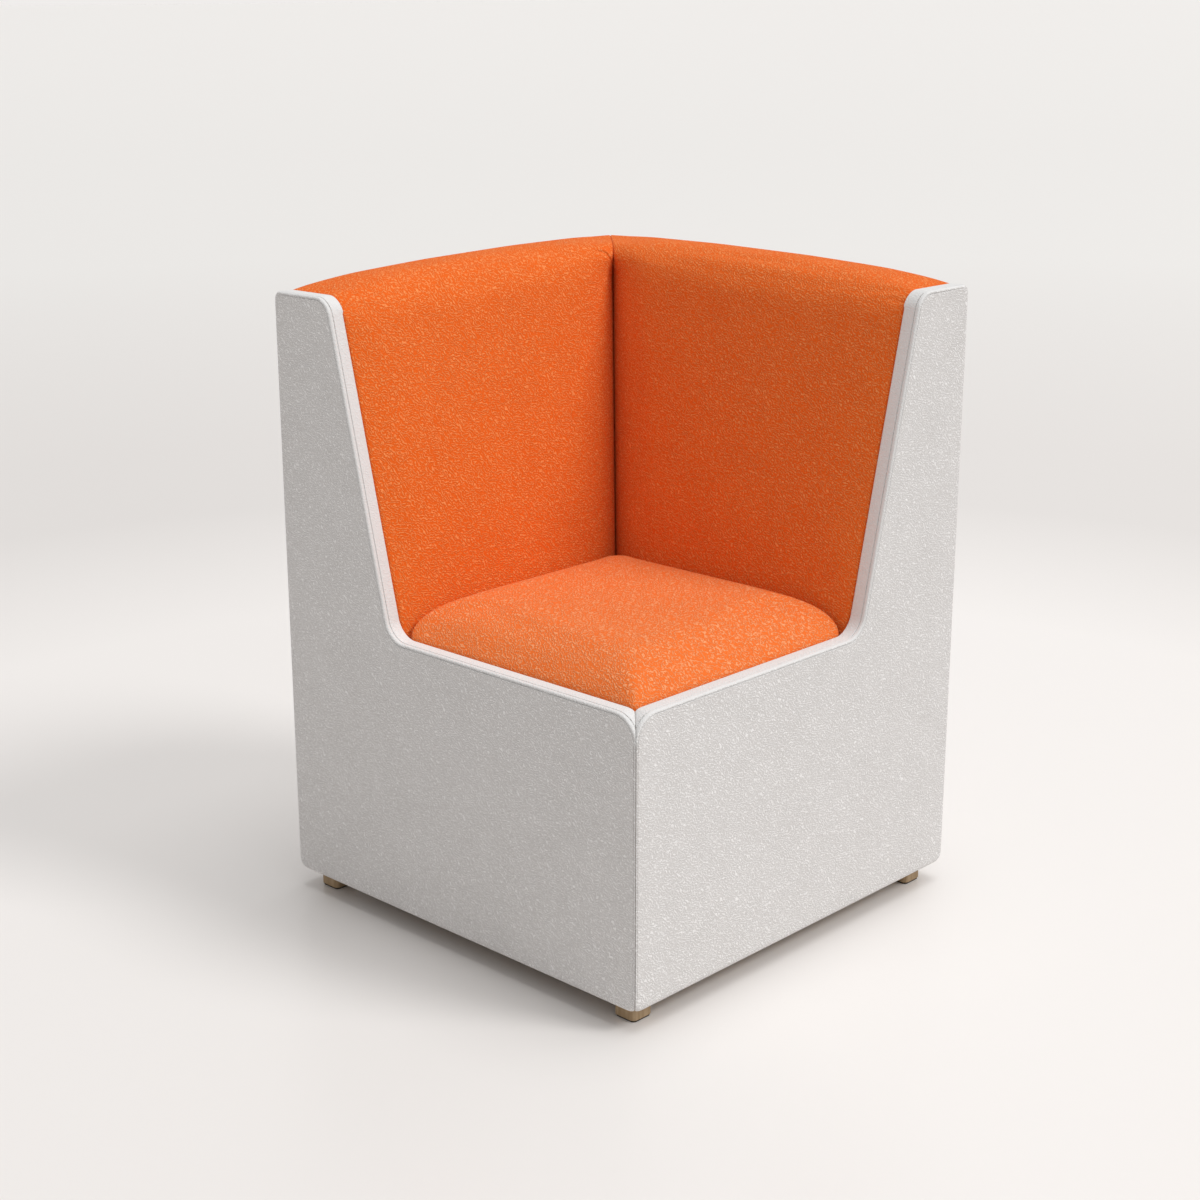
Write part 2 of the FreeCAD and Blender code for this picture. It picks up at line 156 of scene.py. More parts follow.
# Seat
seat_low, seat_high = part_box("seat_cover")
seat_bottom = seat_low.z
pocket_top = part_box("seat_board")[1].z + 0.4 * mm
seat_back = -112 * mm
crown_height = seat_high.z - rim
crown_front_reach = 200 * mm
crown_front_power = 6
crown_rear_reach = 30 * mm
crown_corner = 50 * mm
crown_blend = 8
row_power = 1.5
seat_corner = 12 * mm
near_corner = 4 * mm
seat_hem = 30 * mm
seat_levels = (rim - 8 * mm, rim - 30 * mm, rim - 60 * mm, seat_bottom + 3 * mm, seat_bottom)
seat_held = 2 * mm
seat_pressure = 2.5
seat_swell_least = 0.8 * mm
seat_swell_more = 2.2 * mm

# Steps that the cloth of a padded piece is given to swell
swell_steps = 20

# Feet and dust cloth
foot_round = 8 * mm
foot_edge = 1.2 * mm
dust_notch = 286 * mm
dust_sag = 2.5 * mm
sag_power = 0.8
dust_thickness = 0.6 * mm


def start_clean():
    """Leave edit mode with nothing selected."""
    if bpy.context.mode != "OBJECT":
        bpy.ops.object.mode_set(mode="OBJECT")
    bpy.ops.object.select_all(action="DESELECT")


def take(piece):
    """Make one piece the selected and active one."""
    start_clean()
    piece.select_set(True)
    bpy.context.view_layer.objects.active = piece


def edit(piece):
    take(piece)
    bpy.ops.object.mode_set(mode="EDIT")


def named(name):
    piece = bpy.context.object
    piece.name = name
    piece.data.name = name
    bpy.ops.object.transform_apply(location=True, rotation=True, scale=True)
    return piece


def flat_start(name, width, height, place, turn):
    """A flat rectangle to begin a piece from."""
    start_clean()
    bpy.ops.mesh.primitive_plane_add(size=1, location=place, rotation=turn)
    bpy.context.object.scale = (width, height, 1)
    return named(name)


def pick(piece, kind, test):
    """In edit mode, select the verts, edges or faces that pass a test of their middle."""
    bpy.ops.mesh.select_mode(type={"verts": "VERT", "edges": "EDGE", "faces": "FACE"}[kind])
    bpy.ops.mesh.select_all(action="DESELECT")
    mesh = bmesh.from_edit_mesh(piece.data)
    for item in getattr(mesh, kind):
        ends = [item] if kind == "verts" else item.verts
        middle = sum((vert.co for vert in ends), Vector()) / len(ends)
        if test(middle, item):
            item.select_set(True)
    mesh.select_flush_mode()
    bmesh.update_edit_mesh(piece.data)


def cut_along(point, normal, **settings):
    """In edit mode, cut the whole piece along a plane."""
    bpy.ops.mesh.select_all(action="SELECT")
    bpy.ops.mesh.bisect(plane_co=point, plane_no=normal, **settings)


def extrude(x, y, z):
    bpy.ops.mesh.extrude_region_move(TRANSFORM_OT_translate={"value": (x, y, z)})


def apply_modifier(piece, kind, **settings):
    take(piece)
    made = piece.modifiers.new(kind.lower(), kind)
    for key, value in settings.items():
        setattr(made, key, value)
    bpy.ops.object.modifier_apply(modifier=made.name)


def points_of(piece):
    points = np.empty(len(piece.data.vertices) * 3)
    piece.data.vertices.foreach_get("co", points)
    return points.reshape(-1, 3)


def normals_of(piece):
    return np.array([vert.normal for vert in piece.data.vertices])


def set_points(piece, points):
    piece.data.vertices.foreach_set("co", np.ascontiguousarray(points, dtype=np.float32).ravel())
    piece.data.update()


def smooth(piece, angle):
    take(piece)
    bpy.ops.object.shade_smooth_by_angle(angle=math.radians(angle))


def tidy_normals(piece):
    edit(piece)
    bpy.ops.mesh.select_all(action="SELECT")
    bpy.ops.mesh.remove_doubles(threshold=0.01 * mm)
    bpy.ops.mesh.normals_make_consistent(inside=False)
    start_clean()


def copied(piece, name, turn):
    """A copy with a mesh of its own, which the matrix puts in its place."""
    copy = piece.copy()
    copy.data = piece.data.copy()
    copy.name = name
    copy.data.name = name
    bpy.context.scene.collection.objects.link(copy)
    copy.data.transform(turn)
    return copy


def mirrored(piece, name):
    """The same piece on the other side of the upright plane x + y = 0."""
    copy = copied(piece, name, Matrix(((0, -1, 0, 0), (-1, 0, 0, 0), (0, 0, 1, 0), (0, 0, 0, 1))))
    copy.data.flip_normals()
    return copy


def fit(piece, body, slot, material, *nodes):
    """Give a piece its finish and its body, and hide the CAD nodes that it stands for."""
    piece.data.materials.clear()
    piece.data.materials.append(material)
    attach(piece, body)
    if nodes:
        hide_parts(*nodes)


def step_between(values, low, high):
    share = np.clip((values - low) / (high - low), 0, 1)
    return share * share * (3 - 2 * share)


def panel_edge_round(x, z):
    """Rounding of an end panel's front edge: wide where the cloth wraps over, narrow where sewn."""
    if x > half - bottom_radius and z < base + bottom_radius:
        return wrap_round + (seam_round - wrap_round) * (z - base) / bottom_radius
    if z < base + bottom_radius or x < -half + tiny:
        return wrap_round
    if x < -half + crest_radius and z > post_top - crest_radius:
        return wrap_round + (seam_round - wrap_round) * (x + half) / crest_radius
    return seam_round


def on_sewn_edge(x, z):
    """True along the near upright edge, rim, slope and top, where the face is sewn to its boxing."""
    if x > half - nose_radius:
        return z > base + bottom_radius
    return z > rim - nose_radius and x > seam_end


def panel_outline(name, corners):
    """The L outline of an end panel as one flat face, with these corners rounded."""
    middle = (0, inner_plane, (base + rim) / 2)
    face = flat_start(name, 2 * half, rim - base, middle, (math.pi / 2, 0, 0))
    edit(face)
    cut_along((foot_width - half, 0, 0), (1, 0, 0))
    pick(face, "edges", lambda at, e: at.z > rim - tiny and at.x < foot_width - half)
    extrude(0, 0, post_top - rim)
    pick(face, "verts", lambda at, v: at.z > post_top - tiny and at.x > tiny - half)
    bpy.ops.transform.translate(value=(top_width - foot_width, 0, 0))
    bpy.ops.mesh.select_all(action="SELECT")
    bpy.ops.mesh.dissolve_limited(angle_limit=math.radians(0.5))
    for x, z, reach in corners:
        pick(face, "verts", lambda at, v: abs(at.x - x) < tiny and abs(at.z - z) < tiny)
        bpy.ops.mesh.bevel(offset=reach, segments=12, profile=0.5, affect="VERTICES",
                           clamp_overlap=False)
    return face


def make_panel_cover():
    """Front end panel: its outline drawn forward to a boxed cover, with a hem turned in inside."""
    bend = math.tan(lean_turn / 2)
    inner_corners = [
        (half, rim, nose_radius),
        (foot_width - half, rim, valley_radius * bend),
        (top_width - half, post_top, shoulder_radius * bend),
    ]
    outer_corners = [
        (-half, post_top, crest_radius),
        (-half, base, bottom_radius),
        (half, base, bottom_radius),
    ]
    turned_in = panel_outline("panel_hem", inner_corners)
    bpy.ops.mesh.select_all(action="SELECT")
    bpy.ops.mesh.inset(thickness=hem)
    pick(turned_in, "faces", lambda at, f: len(f.verts) > 4 or at.x < hem * 1.5 - half
         or not rim - hem * 1.01 < at.z < post_top - hem * 1.5)
    bpy.ops.mesh.delete(type="FACE")
    cover = panel_outline("front_panel_cover", inner_corners + outer_corners)
    pick(cover, "faces", lambda at, f: True)
    bpy.ops.mesh.delete(type="ONLY_FACE")
    pick(cover, "edges", lambda at, e: True)
    deep = inner_plane - face_plane
    line = deep - stitch_line
    for step in (line - groove_half, groove_half, groove_half, deep - line - groove_half):
        extrude(0, -step, 0)
    bpy.ops.mesh.edge_face_add()
    mesh = bmesh.from_edit_mesh(cover.data)
    mesh.verts.layers.float.new("ring")
    inset = 0
    for reach in face_rings:
        bpy.ops.mesh.inset(thickness=reach - inset)
        inset = reach
        mesh = bmesh.from_edit_mesh(cover.data)
        ring = mesh.verts.layers.float["ring"]
        for vert in mesh.verts:
            if vert.select:
                vert[ring] = reach
    take(cover)
    turned_in.select_set(True)
    bpy.ops.object.join()
    tidy_normals(cover)
    edit(cover)
    pick(cover, "edges", lambda at, e: at.y > inner_plane - tiny and len(e.link_faces) == 2
         and min(abs(f.normal.y) for f in e.link_faces) < 0.5)
    bpy.ops.mesh.bevel(offset=inner_round, segments=4, profile=0.5, affect="EDGES", clamp_overlap=False)
    mesh = bmesh.from_edit_mesh(cover.data)
    if max(mesh.faces, key=lambda f: len(f.verts)).normal.y > 0:
        bpy.ops.mesh.flip_normals()
    line = face_plane + stitch_line
    pick(cover, "verts", lambda at, v: abs(at.y - line) < tiny and on_sewn_edge(at.x, at.z))
    bpy.ops.transform.shrink_fatten(value=-groove_depth)
    start_clean()
    round_panel_edge(cover)
    finish_at_mitre(cover)
    return cover


def round_panel_edge(cover):
    """Set the rings of the face back to round its edge, with a groove sunk along the seam."""
    points = points_of(cover)
    rings = np.empty(len(points), dtype=np.float32)
    cover.data.attributes["ring"].data.foreach_get("value", rings)
    front = points[:, 1] < face_plane + tiny
    edge = front & (rings == 0)
    outline = points[edge][:, [0, 2]]
    rounds = np.array([panel_edge_round(x, z) for x, z in outline])
    sewn = np.array([on_sewn_edge(x, z) for x, z in outline])
    for i in np.flatnonzero(points[:, 1] < face_plane + stitch_line + 1.1 * groove_half):
        nearest = np.argmin(np.hypot(*(outline - points[i, [0, 2]]).T))
        wide = rounds[nearest]
        if front[i]:
            inside = max(wide - rings[i], 0)
            points[i, 1] = face_plane + wide - math.sqrt(wide * wide - inside * inside)
            groove = abs(rings[i] - wide - groove_half)
            if sewn[nearest] and groove < groove_half:
                points[i, 1] += groove_depth * (1 - groove / groove_half)
        else:
            points[i, 1] = max(points[i, 1], face_plane + wide + (points[i, 1] - face_plane) * 0.1)
    set_points(cover, points)


def sink_at_mitre(piece):
    """Draw the cloth in a little where two covers are sewn together on the diagonal plane."""
    points = points_of(piece)
    normals = normals_of(piece)
    edge = np.abs(points[:, 0] + points[:, 1]) < 2 * tiny
    points[edge] -= normals[edge] * groove_depth
    off = (points[edge, 0] + points[edge, 1] + 0.2 * mm) / 2
    points[edge, 0] -= off
    points[edge, 1] -= off
    set_points(piece, points)


def finish_at_mitre(cover):
    """Cut a cover on the diagonal plane, draw its cut edge in and give the cloth its thickness."""
    edit(cover)
    cut_along((0, -mitre_strip, 0), diagonal)
    cut_along((0, 0, 0), diagonal, clear_outer=True)
    start_clean()
    sink_at_mitre(cover)
    apply_modifier(cover, "SOLIDIFY", thickness=cloth_thickness, offset=-1)
    smooth(cover, 40)


def make_outer_cover():
    """Grey cover on the outside of the left wall, with turned edges and a mitred rear corner."""
    middle = (-half, (half + inner_plane) / 2, (base + cover_top) / 2)
    cover = flat_start("left_outer_cover", half - inner_plane, cover_top - base, middle,
                       (math.pi / 2, 0, -math.pi / 2))
    edit(cover)
    pick(cover, "edges", lambda at, e: at.y > half - tiny)
    extrude(wrap_round * 2, 0, 0)
    pick(cover, "edges", lambda at, e: at.y < inner_plane + tiny)
    extrude(wall_turn_in, 0, 0)
    pick(cover, "edges", lambda at, e: at.z > cover_top - tiny and abs(at.x + half) < tiny)
    extrude(wall_turn_over, 0, 0)
    pick(cover, "edges", lambda at, e: at.z < base + tiny and abs(at.x + half) < tiny)
    extrude(wall_turn_under, 0, 0)
    bpy.ops.mesh.select_all(action="SELECT")
    bpy.ops.mesh.remove_doubles(threshold=tiny)
    bpy.ops.mesh.normals_make_consistent(inside=False)
    mesh = bmesh.from_edit_mesh(cover.data)
    if max(mesh.faces, key=lambda f: f.calc_area()).normal.x > 0:
        bpy.ops.mesh.flip_normals()
    start_clean()
    weights = cover.data.attributes.new("bevel_weight_edge", "FLOAT", "EDGE")
    for edge in cover.data.edges:
        a, b = (cover.data.vertices[i].co for i in edge.vertices)
        if max(a.x, b.x) < tiny - half:
            at = (a + b) / 2
            wide = turn_round
            if at.z < base + tiny:
                wide = wrap_round
            elif at.y > half - tiny:
                wide = seam_round
            weights.data[edge.index].value = wide / wrap_round
    apply_modifier(cover, "BEVEL", width=wrap_round, limit_method="WEIGHT", segments=6, profile=0.5,
                   use_clamp_overlap=False)
    edit(cover)
    for sink in (groove_depth, 0):
        pick(cover, "faces", lambda at, f: f.normal.x < -0.99 and f.calc_area() > 0.1)
        bpy.ops.mesh.inset(thickness=groove_half)
        mesh = bmesh.from_edit_mesh(cover.data)
        ring = {v.index for v in mesh.verts if v.select}
        pick(cover, "verts", lambda at, v: v.index in ring and at.y > half - wall_seam_reach)
        bpy.ops.transform.translate(value=(sink, 0, 0))
    finish_at_mitre(cover)
    return cover


def let_swell(piece, held, pressure, reach):
    """Let a cover swell on its filling as cloth, each point staying within its reach of its start."""
    start = points_of(piece)
    take(piece)
    group = piece.vertex_groups.new(name="held")
    group.add([int(i) for i in np.flatnonzero(held)], 1.0, "REPLACE")
    cloth = piece.modifiers.new("cloth", "CLOTH")
    cloth.settings.vertex_group_mass = "held"
    cloth.settings.use_pressure = True
    cloth.settings.uniform_pressure_force = pressure
    cloth.settings.effector_weights.gravity = 0
    cloth.settings.quality = 6
    cloth.point_cache.frame_start = 1
    cloth.point_cache.frame_end = swell_steps
    for step in range(1, swell_steps + 1):
        bpy.context.scene.frame_set(step)
    bpy.ops.object.modifier_apply(modifier=cloth.name)
    bpy.context.scene.frame_set(1)
    piece.vertex_groups.clear()
    move = points_of(piece) - start
    length = np.maximum(np.linalg.norm(move, axis=1), 1e-9)
    set_points(piece, start + move * np.minimum(1, reach / length)[:, None])


def refine(piece, levels):
    """Subdivide a padded piece smoothly. Its flat ends are opened for that and closed again."""
    edit(piece)
    pick(piece, "faces", lambda at, f: len(f.verts) > 8)
    bpy.ops.mesh.delete(type="ONLY_FACE")
    apply_modifier(piece, "SUBSURF", levels=levels, render_levels=levels)
    edit(piece)
    bpy.ops.mesh.select_all(action="SELECT")
    bpy.ops.mesh.fill_holes(sides=0)
    start_clean()


def pad_face(z):
    """How far across the plain face of the left back pad stands at a height."""
    return top_width - half + (post_top - z) * lean


def make_back_pad():
    """Left back pad: a section that hooks over the wall, drawn along it and cut at the mitre."""
    place = (pad_face(deck_top) - pad_depth / 2, pad_start, (deck_top + pad_knee) / 2)
    pad = flat_start("left_back_pad", pad_depth, pad_knee - deck_top, place, (math.pi / 2, 0, 0))
    edit(pad)
    pick(pad, "edges", lambda at, e: at.z > pad_knee - tiny)
    bpy.ops.transform.translate(value=(pad_face(pad_knee) - pad_face(deck_top), 0, 0))
    extrude(pad_face(pad_top) - pad_face(pad_knee), 0, pad_top - pad_knee)
    middle = (pad_knee + pad_top) / 2
    pick(pad, "edges", lambda at, e: abs(at.z - middle) < tiny
         and at.x < pad_face(middle) - pad_depth / 2)
    for across in (wall_inside, pad_outside):
        extrude(-10 * mm, 0, 0)
        bpy.ops.transform.resize(value=(0, 1, 1), center_override=(across, 0, 0))
    pick(pad, "verts", lambda at, v: at.x < pad_outside + tiny and at.z < middle)
    bpy.ops.transform.translate(value=(0, 0, hook_bottom - pad_knee))
    bpy.ops.mesh.select_all(action="SELECT")
    bpy.ops.mesh.dissolve_limited(angle_limit=math.radians(0.5))
    for x, reach, parts in (
        (pad_face(pad_top), pad_front_radius * math.tan(lean_turn / 2), 9),
        (pad_outside, pad_rear_radius, 6),
    ):
        pick(pad, "verts", lambda at, v: abs(at.x - x) < tiny and at.z > pad_top - tiny)
        bpy.ops.mesh.bevel(offset=reach, segments=parts, profile=0.5, affect="VERTICES",
                           clamp_overlap=False)
    pick(pad, "edges", lambda at, e: e.calc_length() > 0.3 and at.x > pad_face(at.z) - 5 * mm)
    bpy.ops.mesh.subdivide(number_cuts=30)
    pick(pad, "edges", lambda at, e: e.calc_length() > 0.03 and at.z > pad_top - tiny)
    bpy.ops.mesh.subdivide(number_cuts=5)
    bpy.ops.mesh.select_all(action="SELECT")
    extrude(0, half - pad_start + 10 * mm, 0)
    cut_along((0, -pad_apart, 0), diagonal, clear_outer=True, use_fill=True)
    pick(pad, "edges", lambda at, e: abs(e.verts[0].co.y - e.verts[1].co.y) > 0.1)
    bpy.ops.mesh.subdivide(number_cuts=44)
    for near in crease_lines:
        cut_along((0, -pad_apart - near, 0), diagonal)
    for near in end_lines:
        cut_along((0, pad_start + near, 0), (0, 1, 0))
    tidy_normals(pad)
    held = form_back_pad(pad)
    let_swell(pad, held, pad_pressure, pad_swell * step_between(points_of(pad)[:, 2], *swell_zone))
    refine(pad, 2)
    smooth(pad, 60)
    return pad


def form_back_pad(pad):
    """Shape the pad's top, its proud face and its drawn-in ends. Returns which points the wall holds."""
    points = points_of(pad)
    normals = normals_of(pad)
    x, y, z = points.T.copy()
    end = -x - pad_apart
    share = np.clip((y - pad_start) / (end - pad_start), 0, 1)
    from_start = y - pad_start
    from_mitre = end - y
    face = pad_face(z)
    skin = ~((z < pad_knee + mm) & (x < face - skin_zone[1])) & (z > deck_top + tiny)
    drop = np.interp(share, pad_stations[:, 0], pad_stations[:, 1]) * mm
    proud = np.interp(share, pad_stations[:, 0], pad_stations[:, 2]) * mm
    proud += pad_bulge * np.sin(np.pi * share) * np.sin(np.pi * (z - deck_top) / (pad_top - deck_top))
    front = step_between(x, *front_zone)
    low = step_between(z, *drop_zone)
    high = np.clip((z - hook_bottom) / (pad_top - hook_bottom), 0, 1)
    lowered = skin * drop * (low * front + high * (1 - front))
    on_face = skin * (1 - step_between(face - x, *skin_zone)) * (1 - step_between(z, *proud_zone))
    tilt = math.atan(lean)
    points[:, 2] += on_face * proud * math.sin(tilt) - lowered
    points[:, 0] += on_face * proud * math.cos(tilt) + lowered * lean * (z < slope_top) * front
    normals[:, 1] = 0
    normals /= np.maximum(np.linalg.norm(normals, axis=1, keepdims=True), 1e-6)
    on_top = step_between(z, *close_zone)
    crease = crease_round + (mitre_round - crease_round) * on_top
    depth = crease_depth + (mitre_round - crease_depth) * on_top
    for distance, wide, deep in ((from_mitre, crease, depth), (from_start, end_round, end_round)):
        inside = np.clip(1 - distance / wide, 0, 1)
        drawn = deep * (1 - np.sqrt(1 - inside * inside))
        points -= normals * (skin * drawn)[:, None]
    points[:, 1] = pad_start + share * (-points[:, 0] - pad_apart - pad_start)
    set_points(pad, points)
    return ~skin | (from_start < end_held) | (from_mitre < crease_round)


def tuck_cloth(pad):
    """The fold in the left pad's cloth that runs up and away from the top of the crease."""
    points = points_of(pad)
    normals = normals_of(pad)
    from_mitre = -points[:, 0] - pad_apart - points[:, 1]
    above = points[:, 2] - tuck_start - tuck_rise * (1 - np.exp(-from_mitre / tuck_bend))
    fade = (1 - step_between(from_mitre, 0.3 * tuck_length, tuck_length)) * (normals[:, 0] > 0.1)
    raised = np.where(above > 0, tuck_height, -tuck_height) * np.exp(-(above / tuck_wide) ** 2)
    set_points(pad, points + normals * (fade * raised)[:, None])


def make_seat():
    """Drop-in seat: a grid for its top, sides drawn down, a hem turned under, a pocket for its board."""
    start_clean()
    wide = seat_high.x - seat_back
    middle = Vector((seat_back + wide / 2, -seat_back - wide / 2, rim))
    bpy.ops.mesh.primitive_grid_add(x_subdivisions=72, y_subdivisions=72, size=1, location=middle)
    bpy.context.object.scale = (wide, wide, 1)
    seat = named("seat_cushion")
    points = points_of(seat)
    points[:, 0] = seat_back + wide * np.clip((points[:, 0] - seat_back) / wide, 0, 1) ** row_power
    points[:, 1] = -seat_back - wide * np.clip((-seat_back - points[:, 1]) / wide, 0, 1) ** row_power
    set_points(seat, points)
    edit(seat)
    pick(seat, "edges", lambda at, e: len(e.link_faces) == 1)
    for level in seat_levels:
        mesh = bmesh.from_edit_mesh(seat.data)
        now = next(v.co.z for v in mesh.verts if v.select)
        extrude(0, 0, level - now)
    hem_share = 1 - 2 * seat_hem / wide
    pocket_share = 0.985
    for rise, scale in ((0, hem_share), (cloth_thickness, 1), (0, pocket_share / hem_share)):
        extrude(0, 0, rise)
        bpy.ops.transform.resize(value=(scale, scale, 1), center_override=(middle.x, middle.y, 0))
    extrude(0, 0, pocket_top - seat_bottom - cloth_thickness)
    bpy.ops.mesh.edge_face_add()
    tidy_normals(seat)
    held, reach = form_seat(seat, wide)
    let_swell(seat, held, seat_pressure, reach)
    refine(seat, 1)
    smooth(seat, 60)
    return seat


def form_seat(seat, wide):
    """Crown the seat, long in front and tight along the pads, round its corners and lean its rear sides.

    Returns which points stay put and how far the others may swell.
    """
    points = points_of(seat)
    x, y, z = points.T.copy()
    fronts = np.stack([seat_high.x - x, y - seat_low.y])
    rears = np.stack([x - seat_back, -seat_back - y])
    short = np.maximum(crown_corner - rears, 0)
    rear = np.where(short.min(axis=0) > 0, crown_corner - np.hypot(*short), rears.min(axis=0))
    rises = np.concatenate([
        1 - (1 - np.clip(fronts / crown_front_reach, 0, 1)) ** crown_front_power,
        np.sqrt(1 - (1 - np.clip(rear[None] / crown_rear_reach, 0, 1)) ** 2),
    ])
    level = (np.sum(np.maximum(rises, 1e-3) ** -crown_blend, axis=0) - 2) ** (-1 / crown_blend)
    top = np.abs(z - rim) < tiny
    points[:, 2] += np.where(top, crown_height * level, 0)
    for side_x, side_y, reach in (
        (seat_high.x, seat_low.y, near_corner),
        (seat_back, seat_low.y, seat_corner),
        (seat_back, -seat_back, seat_corner),
        (seat_high.x, -seat_back, seat_corner),
    ):
        turn_x = 1 if side_x == seat_high.x else -1
        turn_y = 1 if side_y == -seat_back else -1
        a = np.clip((x - side_x) * turn_x + reach, 0, None) / reach
        b = np.clip((y - side_y) * turn_y + reach, 0, None) / reach
        points[:, 0] += turn_x * reach * a * (np.sqrt(np.maximum(1 - b * b / 2, 0)) - 1)
        points[:, 1] += turn_y * reach * b * (np.sqrt(np.maximum(1 - a * a / 2, 0)) - 1)
    below = (rim - points[:, 2]) * lean
    points[:, 0] += below * np.clip((seat_high.x - x) / wide, 0, 1)
    points[:, 1] -= below * np.clip((y - seat_low.y) / wide, 0, 1)
    set_points(seat, points)
    held = ~top | (np.min(np.concatenate([fronts, rears]), axis=0) < seat_held)
    from_pads = step_between(np.min(rears, axis=0), 8 * mm, 40 * mm)
    return held, seat_swell_least + seat_swell_more * from_pads


def panel_seam_path():
    """Places along an end panel's sewn edge, from the near corner to the wall."""
    bend = math.tan(lean_turn / 2)
    knots = [Vector((half, rim - 0.2)), Vector((half, rim)), Vector((foot_width - half, rim)),
             Vector((top_width - half, post_top)), Vector((seam_end, post_top))]
    reaches = [nose_radius, valley_radius * bend, shoulder_radius * bend]
    path = []
    for before, knot, after, reach in zip(knots, knots[1:], knots[2:], reaches):
        one = knot + (before - knot).normalized() * reach
        two = knot + (after - knot).normalized() * reach
        for share in np.linspace(0, 1, 25):
            first = one * (1 - share) + knot * share
            second = knot * (1 - share) + two * share
            path.append(first * (1 - share) + second * share)
    path.append(knots[-1])
    return [(at.x, at.y) for at in path]


def spaced(path, pitch):
    """Evenly spaced places along a path of points, with the direction of the path at each."""
    path = np.array(path)
    steps = np.linalg.norm(np.diff(path, axis=0), axis=1)
    along = np.concatenate([[0], np.cumsum(steps)])
    places = np.arange(pitch / 2, along[-1], pitch)
    at, ahead, behind = (
        np.stack([np.interp(places + shift, along, part) for part in path.T], axis=1)
        for shift in (0, mm, -mm)
    )
    return at, ahead - behind


def make_stitches(name, runs):
    """Rows of stitches: one short thread, modelled once, is copied to every place of the runs."""
    start_clean()
    bpy.ops.mesh.primitive_uv_sphere_add(segments=6, ring_count=5, radius=0.5)
    bpy.context.object.rotation_euler = (0, math.pi / 2, 0)
    bpy.context.object.scale = (stitch_thick, stitch_wide, stitch_length)
    thread = named(name)
    smooth(thread, 80)
    turns = []
    for places, ways, outwards in runs:
        for at, way, outward in zip(places, ways, outwards):
            way = Vector(way).normalized()
            outward = Vector(outward)
            outward = (outward - way * outward.dot(way)).normalized()
            turn = Matrix((way, outward.cross(way), outward)).transposed().to_4x4()
            turns.append(Matrix.Translation(at) @ turn)
    copies = [copied(thread, "%s_%d" % (name, i), turn) for i, turn in enumerate(turns[1:])]
    thread.data.transform(turns[0])
    take(thread)
    for copy in copies:
        copy.select_set(True)
    bpy.ops.object.join()
    return thread


def upright_run(x, y, top, outward):
    """An upright row of stitches, from the bottom of a seam to its top."""
    places = [(x, y, z) for z in np.arange(stitch_low, top, stitch_pitch)]
    return places, [(0, 0, 1)] * len(places), [outward] * len(places)


def make_panel_stitches():
    """Top stitches beside the front panel's edge seam, and down its side of the near corner."""
    seam = [(x, z) for x, z in panel_seam_path() if z > rim - nose_radius + mm]
    flat, flat_ways = spaced(seam, stitch_pitch)
    outwards = np.stack([flat_ways[:, 1], 0 * flat_ways[:, 0], -flat_ways[:, 0]], axis=1)
    outwards /= np.linalg.norm(outwards, axis=1, keepdims=True)
    line = face_plane + stitch_line
    places = np.stack([flat[:, 0], np.full(len(flat), line), flat[:, 1]], axis=1)
    places -= outwards * stitch_sunk
    ways = np.stack([flat_ways[:, 0], 0 * flat_ways[:, 0], flat_ways[:, 1]], axis=1)
    keep = places[:, 0] + places[:, 1] < -mitre_strip
    runs = [
        (places[keep], ways[keep], outwards[keep]),
        upright_run(stitch_beside, face_plane + stitch_sunk, rim - nose_radius, (0, -1, 0)),
    ]
    return make_stitches("front_panel_stitches", runs)


def make_corner_stitches():
    """Top stitches down one side of the rear corner's seam."""
    run = upright_run(stitch_sunk - half, stitch_beside, cover_top - 12 * mm, (-1, 0, 0))
    return make_stitches("left_corner_stitches", [run])


def make_foot(name):
    """Block foot: a cube with well rounded upright edges and a small round along its floor edge."""
    low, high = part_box(name)
    start_clean()
    bpy.ops.mesh.primitive_cube_add(size=1, location=(low + high) / 2)
    bpy.context.object.scale = high - low
    foot = named(name + "_block")
    edit(foot)
    pick(foot, "edges", lambda at, e: abs(e.verts[0].co.z - e.verts[1].co.z) > 10 * mm)
    bpy.ops.mesh.bevel(offset=foot_round, segments=8, profile=0.5, affect="EDGES")
    pick(foot, "edges", lambda at, e: at.z < low.z + tiny)
    bpy.ops.mesh.bevel(offset=foot_edge, segments=3, profile=0.5, affect="EDGES")
    start_clean()
    smooth(foot, 40)
    return foot


def make_dust_cloth():
    """Thin cloth stapled under the base rails, cut away at the feet, sagging a little in the middle."""
    low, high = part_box("dust_cover")
    size = high - low
    middle = ((low.x + high.x) / 2, (low.y + high.y) / 2, low.z)
    cloth = flat_start("dust_cloth", size.x, size.y, middle, (math.pi, 0, 0))
    edit(cloth)
    for way in ((1, 0, 0), (0, 1, 0)):
        for side in (-1, 1):
            cut_along([side * dust_notch * part for part in way], way)
    pick(cloth, "faces", lambda at, f: abs(at.x) > dust_notch and abs(at.y) > dust_notch)
    bpy.ops.mesh.delete(type="FACE")
    pick(cloth, "edges", lambda at, e: e.calc_length() > 0.1)
    bpy.ops.mesh.subdivide(number_cuts=16)
    start_clean()
    points = points_of(cloth)
    x, y = points[:, 0], points[:, 1]
    across = np.cos(x / dust_notch * np.pi / 2) * np.cos(y / dust_notch * np.pi / 2)
    points[:, 2] -= dust_sag * np.clip(across, 0, 1) ** sag_power
    set_points(cloth, points)
    apply_modifier(cloth, "SOLIDIFY", thickness=dust_thickness, offset=-1)
    smooth(cloth, 40)
    return cloth


# Finishes


def linear(code):
    """An sRGB hex value as a linear colour."""
    parts = [int(code[i:i + 2], 16) / 255 for i in (1, 3, 5)]
    return [p / 12.92 if p <= 0.04045 else ((p + 0.055) / 1.055) ** 2.4 for p in parts] + [1]


